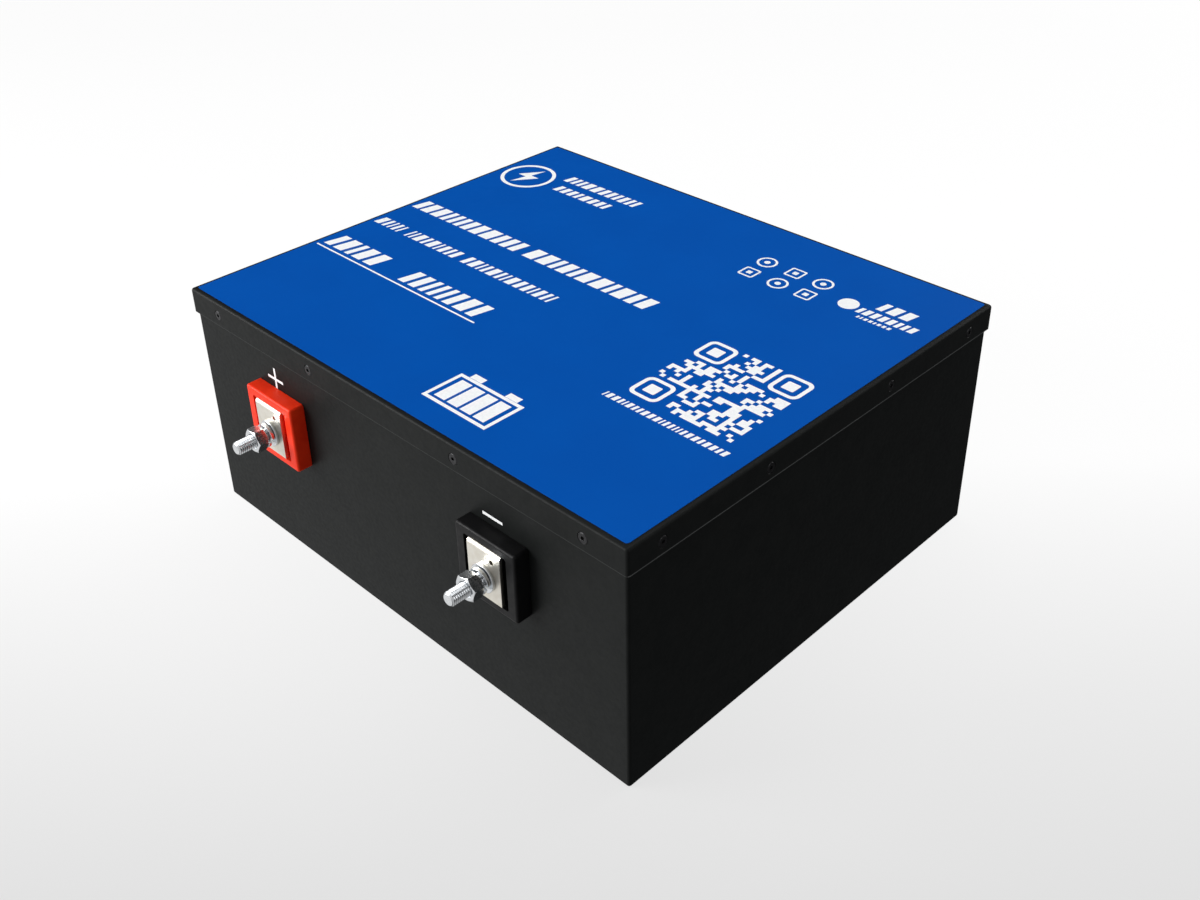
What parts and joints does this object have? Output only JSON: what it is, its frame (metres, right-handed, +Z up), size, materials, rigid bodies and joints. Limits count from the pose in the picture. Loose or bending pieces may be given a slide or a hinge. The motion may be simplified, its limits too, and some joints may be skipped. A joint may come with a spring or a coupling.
{
  "type": "deep cycle battery",
  "caption": "Slim under-seat deep cycle battery: folded steel tray and screwed lid, red and black threaded stud terminals on the front wall, prismatic cells and a protection board inside.",
  "frame": {"origin": "centre of the case's underside, on the surface that the battery stands on", "axes": "+X along the long side, from the positive (red) terminal towards the negative (black) one; -Y out of the front wall, where both terminals are; +Z up"},
  "size_m": [0.352, 0.3297, 0.1482],
  "materials": {
    "case_paint": "satin",
    "label_film": "satin",
    "screw_black": "satin",
    "red_plastic": "satin",
    "black_plastic": "satin",
    "nickel_plate": "satin",
    "bright_zinc": "polished",
    "cell_wrap": "satin",
    "aluminium": "satin",
    "grey_foam": "matte",
    "woven_strapping": "matte",
    "plated_steel": "satin",
    "glass_fibre_board": "satin",
    "circuit_board": "satin",
    "red_silicone": "satin",
    "black_silicone": "satin",
    "white_wire": "satin"
  },
  "bodies": {
    "battery": {"tray": "case_paint", "lid": "case_paint", "top_label": "label_film", "lid_screw_01": "screw_black", "lid_screw_02": "screw_black", "lid_screw_03": "screw_black", "lid_screw_04": "screw_black", "lid_screw_05": "screw_black", "lid_screw_06": "screw_black", "lid_screw_07": "screw_black", "lid_screw_08": "screw_black", "lid_screw_09": "screw_black", "lid_screw_10": "screw_black", "lid_screw_11": "screw_black", "lid_screw_12": "screw_black", "lid_screw_13": "screw_black", "lid_screw_14": "screw_black", "lid_screw_15": "screw_black", "lid_screw_16": "screw_black", "positive_terminal_block": "red_plastic", "negative_terminal_block": "black_plastic", "temperature_sensor": "black_plastic", "positive_terminal_plate": "nickel_plate", "negative_terminal_plate": "nickel_plate", "positive_terminal_stud": "bright_zinc", "negative_terminal_stud": "bright_zinc", "cell_1": "cell_wrap", "cell_2": "cell_wrap", "cell_3": "cell_wrap", "cell_4": "cell_wrap", "cell_5": "cell_wrap", "cell_6": "cell_wrap", "cell_7": "cell_wrap", "cell_8": "cell_wrap", "positive_busbar": "aluminium", "series_link_1": "aluminium", "series_link_2": "aluminium", "series_link_3": "aluminium", "negative_busbar": "aluminium", "bms_heat_sink": "aluminium", "bottom_pad": "grey_foam", "top_pad": "grey_foam", "left_end_pad": "grey_foam", "right_end_pad": "grey_foam", "front_pack_strap": "woven_strapping", "back_pack_strap": "woven_strapping", "cell_stop": "plated_steel", "insulating_board": "glass_fibre_board", "bms_board": "circuit_board", "wireless_module": "circuit_board", "positive_cable": "red_silicone", "pack_negative_cable": "black_silicone", "load_negative_cable": "black_silicone", "balance_harness": "white_wire"},
    "positive_washers": {"positive_flat_washer": "bright_zinc", "positive_spring_washer": "bright_zinc"},
    "positive_nut": {"positive_hex_nut": "bright_zinc"},
    "negative_washers": {"negative_flat_washer": "bright_zinc", "negative_spring_washer": "bright_zinc"},
    "negative_nut": {"negative_hex_nut": "bright_zinc"}
  },
  "joints": [
    {"name": "positive_nut_travel", "type": "slide", "parent": "battery", "child": "positive_washers", "axis": [0, -1, 0], "range_m": [0, 0.017]},
    {"name": "positive_nut_spin", "type": "hinge", "parent": "positive_washers", "child": "positive_nut", "pos_m": [-0.0935, -0.165, 0.0888], "axis": [0, -1, 0], "range_deg": [0, 4900]},
    {"name": "negative_nut_travel", "type": "slide", "parent": "battery", "child": "negative_washers", "axis": [0, -1, 0], "range_m": [0, 0.017]},
    {"name": "negative_nut_spin", "type": "hinge", "parent": "negative_washers", "child": "negative_nut", "pos_m": [0.0888, -0.165, 0.0888], "axis": [0, -1, 0], "range_deg": [0, 4900]}
  ],
  "couplings": [
    {"joint": "positive_nut_spin", "follows": "positive_nut_travel", "rad_per_m": 5026.5},
    {"joint": "negative_nut_spin", "follows": "negative_nut_travel", "rad_per_m": 5026.5}
  ]
}
